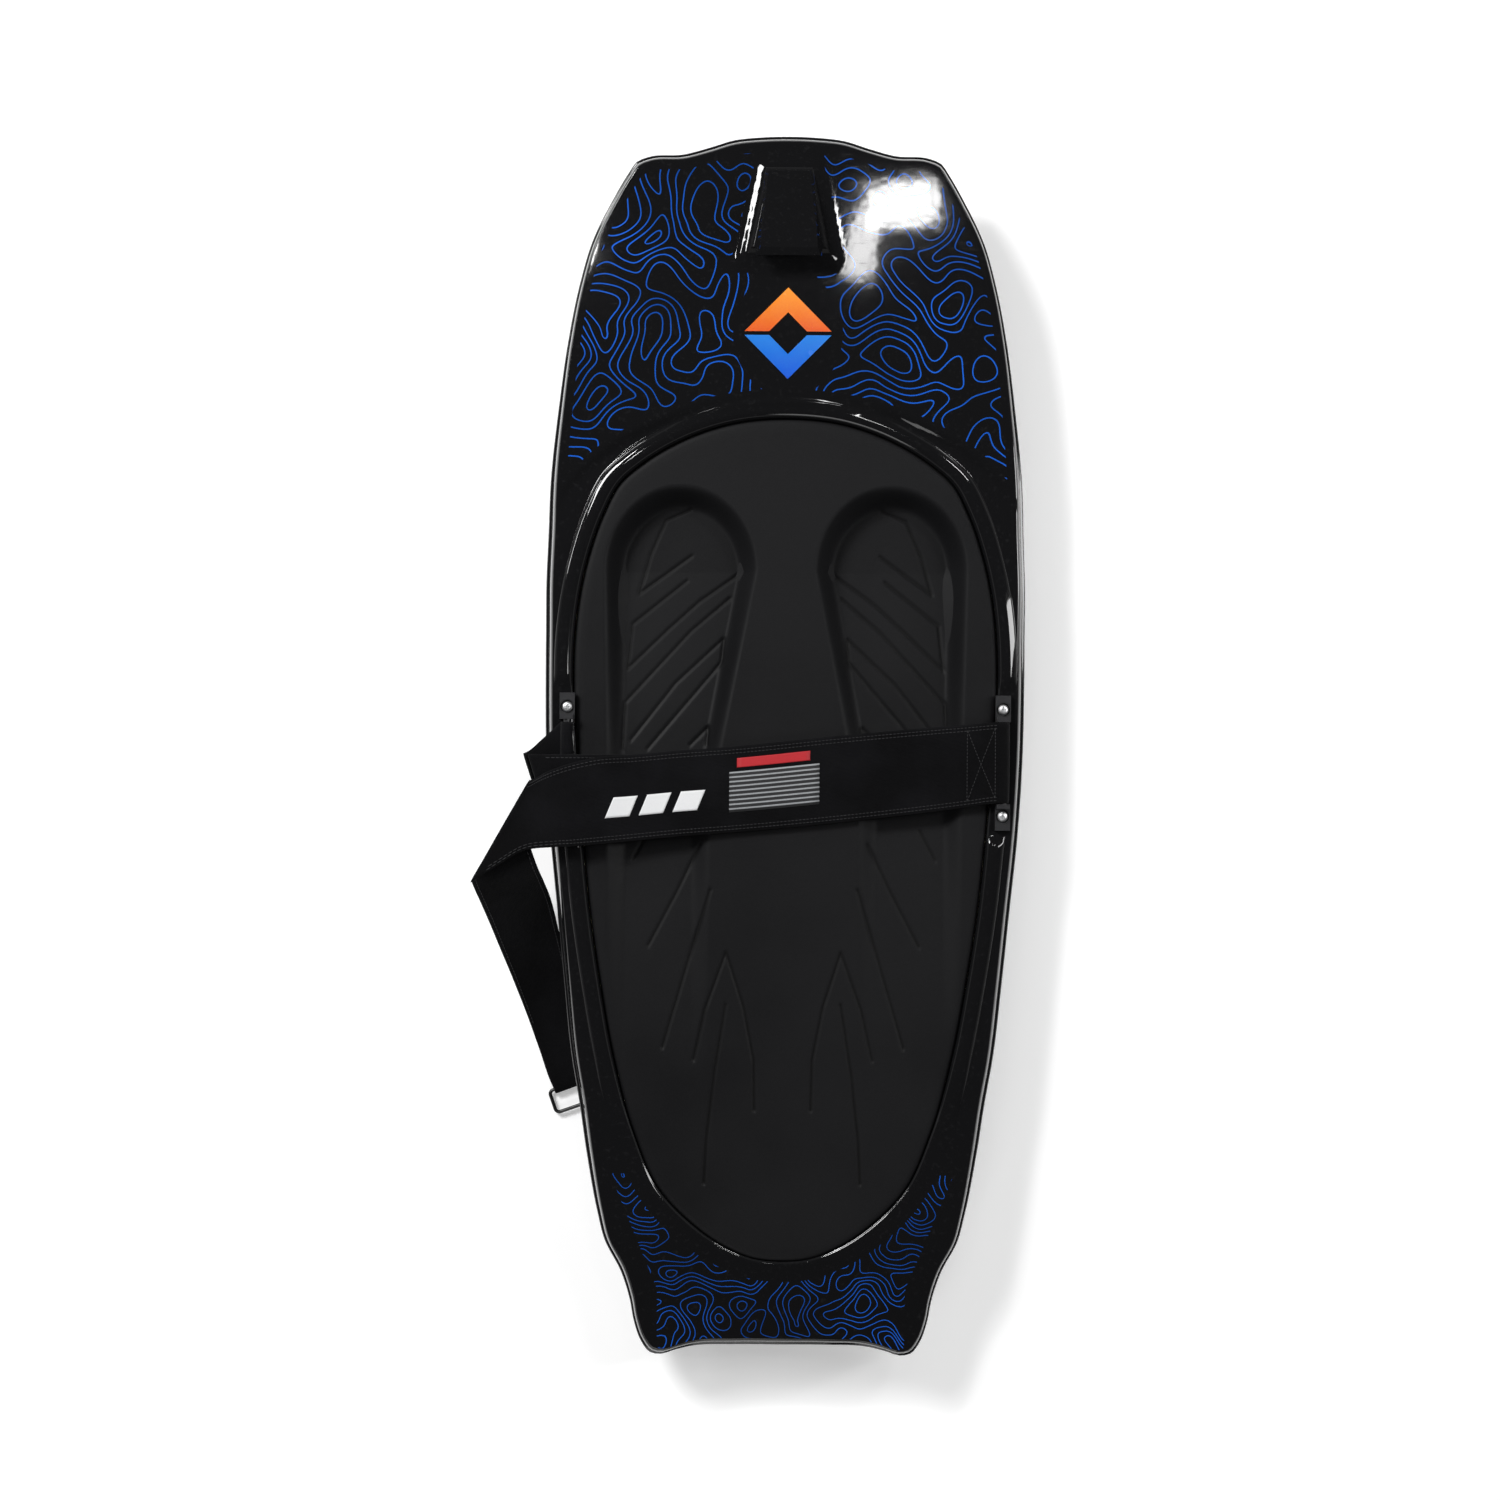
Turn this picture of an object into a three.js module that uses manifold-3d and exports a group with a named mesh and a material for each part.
// A kneeboard: a moulded deck and hull round a foam core, a knee pad with two wells, a tow hook on
// the nose, and a knee strap held by two screwed brackets. Millimetres, +Z up, +Y to the nose.
// The origin is on the floor, under the middle of the flat part of the hull.
import * as THREE from 'three';
import { mergeVertices } from 'three/addons/utils/BufferGeometryUtils.js';
import { ConvexGeometry } from 'three/addons/geometries/ConvexGeometry.js';
import Module from 'manifold-3d';

const wasm = await Module();
wasm.setup();

// ---- Driving dimensions ----
const SKIN = 3.5; // thickness of the deck and hull skins
const GAP = 0.5; // between a skin and the foam core
const FOOT = 0.4; // between the deck and the underside of a piece that stands on it
const PAD_THICKNESS = 10;
const RAIL_Z = 56; // height of the joint line at the widest part
const DECK_RISE = 36; // from the joint line up to the deck beside the pad
const FLAT_SHARE = 0.35; // share of the half-width that lies flat on the floor
const SPINE = { front: 200, rear: -330 }; // the sections fan out from the ends of this line
const NOSE_LIFT = { from: 200, length: 451, height: 50 };
const TAIL_LIFT = { from: -350, length: 300, height: 12 };
const NOSE_PANEL = { z: 98, y: 360, slope: 0.05 }; // a flat raised panel in front of the arch
const ARCH = { y: 189, length: 173, half: 262, step: 16 }; // rear edge of the nose panel
const WALL = { top: 15, shoulder: 12, foot: 5, rim: 3 }; // stations in from the board's edge
const BEAD = 4.5; // height of the ridge round the pad
const WELL = { y: 190, x: 112, half: 82, depth: 33, wall: 22, front: 92, end: -420 };
const SEAT = { x: 231, y: -12, half: 78 }; // flat place in the ridge for each strap bracket
const SCREW_SPACING = 113;
const TAB = { width: 16, length: 28, height: 6, recess: 7.5 }; // one screwed foot of a bracket
const LUG = { width: 14, length: 5, height: 13, inset: 10.5 }; // holds an end of the anchor bar
const INSERT = { low: 71, length: 15, r: 3.7, bore: 4.1 }; // threaded bush under each screw
const BAR = { z: 8, r: 3.5 }; // the anchor bar, above the bracket's seat
const SLEEVE = { inner: 4.2, outer: 7 }; // the strap end sewn round the bar
const STRAP = 3; // webbing thickness
const TAIL_STRAP = 2.5;
const FLAP = 2.4;
const TAPE = { z: 92.3, thickness: 1.2 };
const RING = {
  width: 64, length: 29, bar: 4, sleeveInner: 3.3, sleeveOuter: 4.9, along: 245, across: 25, z: 5.2,
};
const HOOK = { y: 568, length: 98, height: 32, throatR: 11, throatZ: 13 };
const PLUG = { y: -250, r: 12.7, height: 5 };

// Right half of the board's outline from the nose to the tail, [half-width, y].
const BOARD = {
  nose: [[0, 651], [30, 650], [58, 647], [85, 639], [112, 632], [150, 629], [162, 624], [170, 613],
    [188, 583], [209, 541], [222, 498], [235, 435], [244, 371], [253, 286], [255, 230]],
  side: [[257, 175], [257, 130], [257, 74], [256, 0], [251, -90], [243, -170], [235, -250], [226, -330]],
  tail: [[218, -376], [209, -435], [197, -498], [190, -525], [171, -562], [162, -590], [157, -615],
    [149, -636], [140, -647], [128, -649], [115, -645], [95, -640], [50, -638], [0, -638]],
};
// Right half of the knee pad's outline from front to rear.
const PAD = [[0, 352], [60, 346], [112, 328], [154, 303], [176, 284], [194, 251], [208, 212],
  [218, 170], [224, 120], [225, 60], [221, 0], [214, -90], [206, -170], [194, -250], [179, -330],
  [158, -406], [130, -468], [100, -500], [60, -528], [30, -540], [0, -543]];
// Heights along the side where a section is cut: pairs stand at the ends of the bracket seats.
const SIDE_ROWS = [200, 165, 130, 100, 75, 66, 30, -12, -55, -90, -99, -140, -185, -230, -280, -330];
// Shares of the way from the spine to the pad's edge, set by the walls of the knee wells.
const PAD_SHARES = [0, 0.14, 0.24, 0.36, 0.5, 0.63, 0.75, 0.86, 0.96];
// The strap lies from the right bracket across the pad, as [front edge, rear edge, middle height].
const STRAP_LINE = [
  [[231, 31.5], [231, -54.5], 105.3],
  [[216, 30.6], [216, -55.4], 105.3],
  [[200, 29], [200, -58], 101],
  [[165, 26], [165, -63], 98],
  [[60, 16], [60, -76], 97.2],
  [[-60, 3], [-60, -88], 97.6],
  [[-110, -1], [-110, -92], 99.5],
  [[-160, -6], [-160, -97], 104],
  [[-200, -9], [-200, -101], 111],
  [[-232, -17], [-225, -103], 114],
  [[-250, -24], [-245, -104], 113],
  [[-264, -31], [-268, -110], 111],
  [[-267, -33], [-331, -142], 107],
];
const STRAP_SKEW = 0.1; // how much the strap slants towards the tail
// The tail leaves the main strap's diagonal fold and comes down to the floor beside the board.
const TAIL_FOLD = [[-331, -144], [-285, -64], 102];
const TAIL = { start: new THREE.Vector2(-331, -142), along: new THREE.Vector2(0.335, -0.942) };
// [distance along the tail, its width there, middle height]
const TAIL_DROP = [
  [3, 71, 93], [40, 71, 68], [80, 66, 44], [120, 60, 22], [160, 54, 9], [200, 50, 6], [237, 50, 5.2],
];
// The short strap on the left bracket, and its flap folded back under the main strap.
const HOOK_BAND = [
  [[-236, 28], [-236, -52], 98.2],
  [[-241, 24], [-240.5, -53], 98.2],
  [[-252, 14], [-243, -70], 98.2],
  [[-276, -5], [-248, -89], 98.2],
];
const HOOK_FLAP = [
  [[-275, -6], [-247, -90], 103.4],
  [[-246, -6], [-238, -90], 108.8],
  [[-216, -6], [-216, -90], 108.8],
  [[-194, -6], [-194, -90], 100],
  [[-176, -6], [-176, -90], 95.2],
  [[-78, -6], [-78, -90], 94.6],
];
const HULL_SHARES = [0, FLAT_SHARE, 0.62, 0.83]; // shares of the way from the spine to the board's edge
const HULL_RIM = 12.5; // how far in from the edge the hull starts to turn into its flange

// ---- Surfaces ----
const clamp = THREE.MathUtils.clamp;
const lerp = THREE.MathUtils.lerp;
const smooth = (t) => THREE.MathUtils.smoothstep(t, 0, 1);

const noseLift = (y) => NOSE_LIFT.height * Math.max(0, (y - NOSE_LIFT.from) / NOSE_LIFT.length) ** 2;
const tailLift = (y) => TAIL_LIFT.height * Math.max(0, (TAIL_LIFT.from - y) / TAIL_LIFT.length) ** 2;
const keelZ = (y) => noseLift(y) + tailLift(y);
const railZ = (y) => RAIL_Z + 0.7 * noseLift(y);

function deckZ(x, y) {
  const rear = RAIL_Z + DECK_RISE - 12 * smooth((-500 - y) / 150);
  const panel = NOSE_PANEL.z + NOSE_PANEL.slope * (y - NOSE_PANEL.y);
  const across = Math.sqrt(Math.max(0, 1 - (x / ARCH.half) ** 2));
  const past = y - (ARCH.y + ARCH.length * across);
  return lerp(rear, panel, smooth(past / ARCH.step));
}

function wellDepth(x, y) {
  const back = clamp((WELL.y - y) / 250, 0, 1);
  const centre = WELL.x + 22 * back;
  const half = WELL.half - 26 * back;
  const forward = Math.max(0, (y - WELL.y) / WELL.front);
  const inside = (1 - Math.hypot((Math.abs(x) - centre) / half, forward)) * half;
  const fade = Math.pow(clamp((y - WELL.end) / (WELL.y - WELL.end), 0, 1), 1.7);
  return WELL.depth * Math.min(1, fade) * smooth(inside / WELL.wall);
}

const padZ = (x, y) => RAIL_Z + DECK_RISE - 2 - wellDepth(x, y);
const recessZ = (x, y) => padZ(x, y) - PAD_THICKNESS - 0.4;

function hullZ(share, y) {
  const rise = Math.max(0, (share - FLAT_SHARE) / (1 - FLAT_SHARE)) ** 1.6;
  return lerp(keelZ(y), railZ(y), rise);
}

const beadAt = (x, y) => (Math.abs(y - SEAT.y) < SEAT.half + 8 ? 0 : BEAD * smooth((y + 420) / 120));

// ---- Sections swept round the spine ----
// Where a line from (0, fromY) towards [x, y] crosses an outline's right half.
function reach(outline, fromY, direction) {
  for (let i = 0; i + 1 < outline.length; i++) {
    const [ax, ay] = outline[i];
    const [bx, by] = outline[i + 1];
    const ex = bx - ax;
    const ey = by - ay;
    const cross = direction.x * ey - direction.y * ex;
    if (Math.abs(cross) < 1e-9) continue;
    const along = (ax * ey - (ay - fromY) * ex) / cross;
    const share = (ax * direction.y - (ay - fromY) * direction.x) / cross;
    if (along > 0 && share >= -1e-9 && share <= 1 + 1e-9) return along;
  }
  throw new Error('no crossing');
}

function makeRays() {
  const whole = [...BOARD.nose, ...BOARD.side, ...BOARD.tail];
  const ends = [
    ...BOARD.nose.map(([x, y]) => ({ fromY: SPINE.front, x, y })),
    ...SIDE_ROWS.map((y) => ({ fromY: y, x: 1, y })),
    ...BOARD.tail.map(([x, y]) => ({ fromY: SPINE.rear, x, y })),
  ];
  const right = ends.map(({ fromY, x, y }) => {
    const direction = new THREE.Vector2(x, y - fromY).normalize();
    return { fromY, direction, pad: reach(PAD, fromY, direction), board: reach(whole, fromY, direction) };
  });
  const left = right.slice(1, -1).reverse().map((ray) => ({
    ...ray,
    direction: new THREE.Vector2(-ray.direction.x, ray.direction.y),
  }));
  return [...right, ...left];
}

const RAYS = makeRays();

// stations(ray) gives [distance, height function or number] pairs from the spine and back to it.
function sweep(stations) {
  const positions = [];
  const rows = RAYS.map((ray) => stations(ray).map(([r, z]) => {
    const x = ray.direction.x * r;
    const y = ray.fromY + ray.direction.y * r;
    return new THREE.Vector3(r === 0 ? 0 : x, r === 0 ? ray.fromY : y, typeof z === 'number' ? z : z(x, y));
  }));
  const outwards = RAYS.map((ray) => {
    const line = stations(ray);
    return line.slice(1).map(([r], j) => r >= line[j][0]);
  });
  const face = (a, b, c) => positions.push(...a.toArray(), ...b.toArray(), ...c.toArray());
  rows.forEach((row, i) => {
    const next = rows[(i + 1) % rows.length];
    for (let j = 0; j + 1 < row.length; j++) {
      // Both faces of a skin are split along the same diagonal, so that nested skins stay apart.
      const outward = outwards[i][j];
      face(row[j], row[j + 1], outward ? next[j] : next[j + 1]);
      face(next[j], outward ? row[j + 1] : row[j], next[j + 1]);
    }
  });
  const geometry = new THREE.BufferGeometry();
  geometry.setAttribute('position', new THREE.Float32BufferAttribute(positions, 3));
  return closed(geometry);
}

// Merges shared corners and drops the faces that the merge leaves with no area.
function closed(geometry) {
  geometry.deleteAttribute('normal');
  geometry.deleteAttribute('uv');
  const merged = mergeVertices(geometry, 1e-4);
  const index = merged.index.array;
  const kept = [];
  for (let i = 0; i < index.length; i += 3) {
    const [a, b, c] = [index[i], index[i + 1], index[i + 2]];
    if (a !== b && b !== c && c !== a) kept.push(a, b, c);
  }
  merged.setIndex(kept);
  return merged;
}

// Two stations on the open deck between the ridge round the pad and the board's shoulder.
function middle(start, end) {
  return [start + Math.min(14, (end - start) / 3), start + 0.6 * (end - start)];
}

function deckStations(ray) {
  const { pad, board } = ray;
  const top = middle(pad + 14, board - WALL.top);
  const rail = railZ(ray.fromY + ray.direction.y * board);
  const bead = (share) => (x, y) => deckZ(x, y) + share * beadAt(x, y);
  return [
    ...PAD_SHARES.map((share) => [pad * share, recessZ]),
    [pad + 0.6, recessZ],
    [pad + 1.4, deckZ],
    [pad + 5, bead(0.8)],
    [pad + 9, bead(1)],
    [pad + 14, bead(0.2)],
    ...top.map((r) => [r, deckZ]),
    [board - WALL.top, deckZ],
    [board - WALL.shoulder, (x, y) => deckZ(x, y) - 3],
    [board - WALL.foot, rail + 5],
    [board, rail + WALL.rim],
    [board, rail + 0.2],
    [board - 10, rail + 0.2],
    ...underDeck(ray, SKIN).reverse(),
  ];
}

// The underside of the deck, or with a greater drop the top of the foam core below it.
function underDeck({ pad, board }, drop) {
  const end = board - WALL.top - 2;
  return [
    ...PAD_SHARES.map((share) => [pad * share, (x, y) => recessZ(x, y) - drop]),
    [pad + 4.6, (x, y) => recessZ(x, y) - drop],
    ...[pad + 6, ...middle(pad + 6, end)].map((r) => [r, (x, y) => deckZ(x, y) - drop]),
    [end, (x, y) => deckZ(x, y) - drop - 1],
  ];
}

// The inside of the hull, or with a greater rise the underside of the foam core.
function overHull({ board, fromY, direction }, rise) {
  const rail = railZ(fromY + direction.y * board);
  const rim = (x, y) => Math.min(rail - 3.7, hullZ(1 - HULL_RIM / board, y) + SKIN) + rise - SKIN;
  return [
    ...HULL_SHARES.map((share) => [board * share, (x, y) => hullZ(share, y) + rise]),
    [board - HULL_RIM, rim],
  ];
}

function hullStations(ray) {
  const { board } = ray;
  const rail = railZ(ray.fromY + ray.direction.y * board);
  return [
    ...overHull(ray, SKIN),
    [board - 9, rail - 0.2],
    [board, rail - 0.2],
    [board, rail - 3],
    [board - 6, (x, y) => hullZ(1 - 6 / board, y) - 2],
    ...HULL_SHARES.toReversed().map((share) => [board * share, (x, y) => hullZ(share, y)]),
  ];
}

function foamStations(ray) {
  const rail = railZ(ray.fromY + ray.direction.y * ray.board);
  return [
    ...underDeck(ray, SKIN + GAP),
    [ray.board - HULL_RIM, rail + 0.2],
    ...overHull(ray, SKIN + GAP).reverse(),
  ];
}

function padStations({ pad }) {
  const lower = (x, y) => recessZ(x, y) + 0.4;
  return [
    ...PAD_SHARES.map((share) => [pad * share, padZ]),
    [pad - 3, (x, y) => padZ(x, y) - 0.8],
    [pad, (x, y) => padZ(x, y) - 3],
    [pad, lower],
    ...PAD_SHARES.toReversed().map((share) => [pad * share, lower]),
  ];
}

// ---- Solids ----
function toSolid(geometry) {
  const merged = closed(geometry.index ? geometry.toNonIndexed() : geometry);
  return new wasm.Manifold(new wasm.Mesh({
    numProp: 3,
    vertProperties: new Float32Array(merged.attributes.position.array),
    triVerts: new Uint32Array(merged.index.array),
  }));
}

function toGeometry(solid) {
  const mesh = solid.getMesh();
  const geometry = new THREE.BufferGeometry();
  geometry.setAttribute('position', new THREE.Float32BufferAttribute(mesh.vertProperties, 3));
  geometry.setIndex(Array.from(mesh.triVerts));
  return geometry;
}

const cut = (geometry, ...tools) => toGeometry(
  tools.reduce((solid, tool) => solid.subtract(toSolid(tool)), toSolid(geometry)),
);
const join = (geometry, ...others) => toGeometry(
  others.reduce((solid, other) => solid.add(toSolid(other)), toSolid(geometry)),
);

// A cylinder standing on (x, y, low) and ending at high.
function post(x, y, low, high, r, sides = 20) {
  const geometry = new THREE.CylinderGeometry(r, r, high - low, sides);
  return geometry.rotateX(Math.PI / 2).translate(x, y, (low + high) / 2);
}

// A slab of webbing: each station is [edge a, edge b, middle height], the edges as [x, y].
function ribbon(stations, thickness) {
  const positions = [];
  const corners = stations.map(([a, b, z]) => [
    new THREE.Vector3(a[0], a[1], z - thickness / 2),
    new THREE.Vector3(b[0], b[1], z - thickness / 2),
    new THREE.Vector3(b[0], b[1], z + thickness / 2),
    new THREE.Vector3(a[0], a[1], z + thickness / 2),
  ]);
  const quad = (a, b, c, d) => [a, b, c, a, c, d].forEach((p) => positions.push(...p.toArray()));
  for (let i = 0; i + 1 < corners.length; i++) {
    for (let j = 0; j < 4; j++) {
      const k = (j + 1) % 4;
      quad(corners[i][j], corners[i][k], corners[i + 1][k], corners[i + 1][j]);
    }
  }
  quad(...corners[0].toReversed());
  quad(...corners.at(-1));
  const geometry = new THREE.BufferGeometry();
  geometry.setAttribute('position', new THREE.Float32BufferAttribute(positions, 3));
  return facingOut(closed(geometry));
}

// Turns a closed mesh the right way out.
function facingOut(geometry) {
  const p = geometry.attributes.position;
  const index = geometry.index.array;
  const corner = (i) => new THREE.Vector3().fromBufferAttribute(p, index[i]);
  let volume = 0;
  for (let i = 0; i < index.length; i += 3) {
    volume += corner(i).dot(corner(i + 1).cross(corner(i + 2)));
  }
  return volume > 0 ? geometry : geometry.setIndex(Array.from(index).reverse());
}

// The sewn end of a strap: a tube of the given length round the Z axis, before it is turned.
function sleeve(inner, outer, length) {
  const shape = new THREE.Shape().absarc(0, 0, outer, 0, 2 * Math.PI);
  shape.holes.push(new THREE.Path().absarc(0, 0, inner, 0, 2 * Math.PI, true));
  const geometry = new THREE.ExtrudeGeometry(shape, { depth: length, bevelEnabled: false, curveSegments: 8 });
  return geometry.translate(0, 0, -length / 2);
}

// ---- Sub-parts ----
const seatZ = RAIL_Z + DECK_RISE;
const screwY = [SEAT.y + SCREW_SPACING / 2, SEAT.y - SCREW_SPACING / 2];
const screwPlaces = [-SEAT.x, SEAT.x].flatMap((x) => screwY.map((y) => [x, y]));

// Space for the threaded inserts, and for the ends of the screws below them.
const insertBores = (top) => screwPlaces.map(([x, y]) => post(x, y, INSERT.low - 3, top, INSERT.bore));

function deckShell() {
  const holes = screwPlaces.map(([x, y]) => post(x, y, 80, 100, 3));
  const bores = insertBores(INSERT.low + INSERT.length + 0.5);
  return cut(facingOut(sweep(deckStations)), ...holes, ...bores);
}

function hullShell() {
  return cut(facingOut(sweep(hullStations)), post(0, PLUG.y, -5, 8, PLUG.r + 0.4, 24));
}

function foamCore() {
  const plugHole = post(0, PLUG.y, 0, 9, PLUG.r + 0.4, 24);
  return cut(facingOut(sweep(foamStations)), ...insertBores(seatZ), plugHole);
}

function bracket(side) {
  const parts = screwY.map((y) => {
    const out = Math.sign(y - SEAT.y);
    const tab = new THREE.BoxGeometry(TAB.width, TAB.length, TAB.height);
    tab.translate(0, y - SEAT.y + out, TAB.height / 2 + FOOT);
    const lug = new THREE.BoxGeometry(LUG.width, LUG.length, LUG.height);
    lug.translate(0, y - SEAT.y - LUG.inset * out, LUG.height / 2 + FOOT);
    const recess = post(0, y - SEAT.y, FOOT + 3, 12, TAB.recess);
    const hole = post(0, y - SEAT.y, -2, 8, 3);
    return cut(join(tab, lug), recess, hole);
  });
  const length = SCREW_SPACING - 2 * (LUG.inset - 0.5);
  const bar = new THREE.CylinderGeometry(BAR.r, BAR.r, length, 20).translate(0, 0, BAR.z);
  return join(parts[0], parts[1], bar).translate(side * SEAT.x, SEAT.y, seatZ);
}

function screw(x, y) {
  const profile = [[0, -18], [2.4, -18], [2.4, 0], [5.4, 0], [5.4, 1.6], [4.2, 3], [2, 3.6], [0, 3.6]];
  const body = new THREE.LatheGeometry(profile.map(([r, z]) => new THREE.Vector2(r, z)), 20);
  const slots = [0, Math.PI / 2].map((turn) => new THREE.BoxGeometry(5.6, 1.2, 2.4)
    .rotateZ(turn).translate(0, 0, 3.4));
  return cut(body.rotateX(Math.PI / 2), ...slots).translate(x, y, seatZ + 3.8);
}

function insert(x, y) {
  const { r, length } = INSERT;
  const waist = r - 0.4;
  const outside = [[r, 0], [r, 5], [waist, 6], [waist, 9], [r, 10], [r, length]];
  const profile = [[2.7, 0], ...outside, [2.7, length], [2.7, 0]];
  const body = new THREE.LatheGeometry(profile.map(([r, z]) => new THREE.Vector2(r, z)), 20);
  return body.rotateX(Math.PI / 2).translate(x, y, INSERT.low);
}

function towHook() {
  const rear = -HOOK.length / 2;
  const corners = [
    [26, 49, 0], [22, 42, 8], [30, rear + 8, HOOK.height], [33, rear, HOOK.height - 3], [46, rear, 0],
  ].flatMap(([x, y, z]) => [new THREE.Vector3(x, y, z), new THREE.Vector3(-x, y, z)]);
  const throat = new THREE.CylinderGeometry(HOOK.throatR, HOOK.throatR, 120, 24)
    .rotateZ(Math.PI / 2).translate(0, rear, HOOK.throatZ);
  const solid = cut(new ConvexGeometry(corners), throat);
  const z = NOSE_PANEL.z + NOSE_PANEL.slope * (HOOK.y - NOSE_PANEL.y);
  return solid.rotateX(Math.atan(NOSE_PANEL.slope)).translate(0, HOOK.y, z + 0.4);
}

function mainStrap() {
  const loop = sleeve(SLEEVE.inner, SLEEVE.outer, 86).rotateX(Math.PI / 2);
  return join(ribbon(STRAP_LINE, STRAP), loop.translate(SEAT.x, SEAT.y, seatZ + BAR.z));
}

function strapPadding() {
  const line = [190, 60, -55].map((x) => {
    const y = SEAT.y + STRAP_SKEW * (x - SEAT.x);
    return [[x, y + 36], [x, y - 38], x > 100 ? 94 : 93];
  });
  return ribbon(line, 3.4);
}

const tailAcross = new THREE.Vector2(-TAIL.along.y, TAIL.along.x);
const tailPoint = (along, across) => [
  TAIL.start.x + TAIL.along.x * along + tailAcross.x * across,
  TAIL.start.y + TAIL.along.y * along + tailAcross.y * across,
];
const ringCentre = tailPoint(RING.along, RING.across);
const ringTurn = Math.atan2(tailAcross.y, tailAcross.x);

function strapTail() {
  const stations = TAIL_DROP.map(([s, width, z]) => [tailPoint(s, 0), tailPoint(s, width), z]);
  const last = [tailPoint(RING.along - 3, 1), tailPoint(RING.along - 3, 49), RING.z];
  const loop = sleeve(RING.sleeveInner, RING.sleeveOuter, 48).rotateY(Math.PI / 2).rotateZ(ringTurn);
  const hole = new THREE.CylinderGeometry(RING.sleeveInner, RING.sleeveInner, 80, 16)
    .rotateZ(Math.PI / 2).rotateZ(ringTurn);
  const place = [...ringCentre, RING.z];
  const band = cut(ribbon([TAIL_FOLD, ...stations, last], TAIL_STRAP), hole.translate(...place));
  return join(band, loop.translate(...place));
}

function roundedRectangle(path, width, height, r) {
  const [x, y] = [width / 2, height / 2];
  path.moveTo(-x + r, -y).lineTo(x - r, -y).absarc(x - r, -y + r, r, -Math.PI / 2, 0);
  path.lineTo(x, y - r).absarc(x - r, y - r, r, 0, Math.PI / 2);
  path.lineTo(-x + r, y).absarc(-x + r, y - r, r, Math.PI / 2, Math.PI);
  return path.lineTo(-x, -y + r).absarc(-x + r, -y + r, r, Math.PI, 1.5 * Math.PI);
}

function strapRing() {
  const shape = roundedRectangle(new THREE.Shape(), RING.width, RING.length, 5);
  const [width, length] = [RING.width - 2 * RING.bar, RING.length - 2 * RING.bar];
  shape.holes.push(roundedRectangle(new THREE.Path(), width, length, 2));
  const settings = { depth: RING.bar, bevelEnabled: false, curveSegments: 4 };
  const geometry = new THREE.ExtrudeGeometry(shape, settings);
  geometry.translate(0, -RING.length / 2 + RING.bar / 2, -RING.bar / 2).rotateZ(ringTurn);
  return geometry.translate(...ringCentre, RING.z);
}

function hookStrapBase() {
  const loop = sleeve(SLEEVE.inner, SLEEVE.outer, 82).rotateX(Math.PI / 2);
  return join(ribbon(HOOK_BAND, STRAP), loop.translate(-SEAT.x, SEAT.y, seatZ + BAR.z));
}

function tapePatch(low, high) {
  return ribbon([[[low, -10], [low, -86], TAPE.z], [[high, -10], [high, -86], TAPE.z]], TAPE.thickness);
}

// ---- Assembly ----
const PLASTIC = { color: 0x101114, roughness: 0.2, metalness: 0 };
const BRACKET = { color: 0x141414, roughness: 0.45, metalness: 0 };
const FOAM = { color: 0xd8cfae, roughness: 0.9, metalness: 0 };
const EVA = { color: 0x26282a, roughness: 0.85, metalness: 0 };
const WEBBING = { color: 0x0b0b0c, roughness: 0.9, metalness: 0 };
const STEEL = { color: 0xc8cacc, roughness: 0.3, metalness: 1 };
const BRASS = { color: 0xb89a4a, roughness: 0.4, metalness: 1 };

const board = new THREE.Group();
board.name = 'kneeboard';

function add(name, geometry, look) {
  const mesh = new THREE.Mesh(geometry, new THREE.MeshStandardMaterial(look));
  mesh.name = name;
  board.add(mesh);
}

add('deck_shell', deckShell(), PLASTIC);
add('hull_shell', hullShell(), PLASTIC);
add('foam_core', foamCore(), FOAM);
add('fill_plug', post(0, PLUG.y, 0.6, 0.6 + PLUG.height, PLUG.r, 24), BRACKET);
add('knee_pad', facingOut(sweep(padStations)), EVA);
add('tow_hook', towHook(), PLASTIC);
add('bracket_left', bracket(-1), BRACKET);
add('bracket_right', bracket(1), BRACKET);
screwPlaces.forEach(([x, y]) => {
  const place = `${x < 0 ? 'left' : 'right'}_${y > SEAT.y ? 'front' : 'rear'}`;
  add(`screw_${place}`, screw(x, y), STEEL);
  add(`insert_${place}`, insert(x, y), BRASS);
});
add('main_strap', mainStrap(), WEBBING);
add('strap_padding', strapPadding(), WEBBING);
add('strap_tail', strapTail(), WEBBING);
add('strap_ring', strapRing(), STEEL);
add('hook_strap_base', hookStrapBase(), WEBBING);
add('hook_flap', ribbon(HOOK_FLAP, FLAP), WEBBING);
add('hook_tape', tapePatch(-120, -82), WEBBING);
add('loop_tape', tapePatch(-172, -126), WEBBING);

export default board;
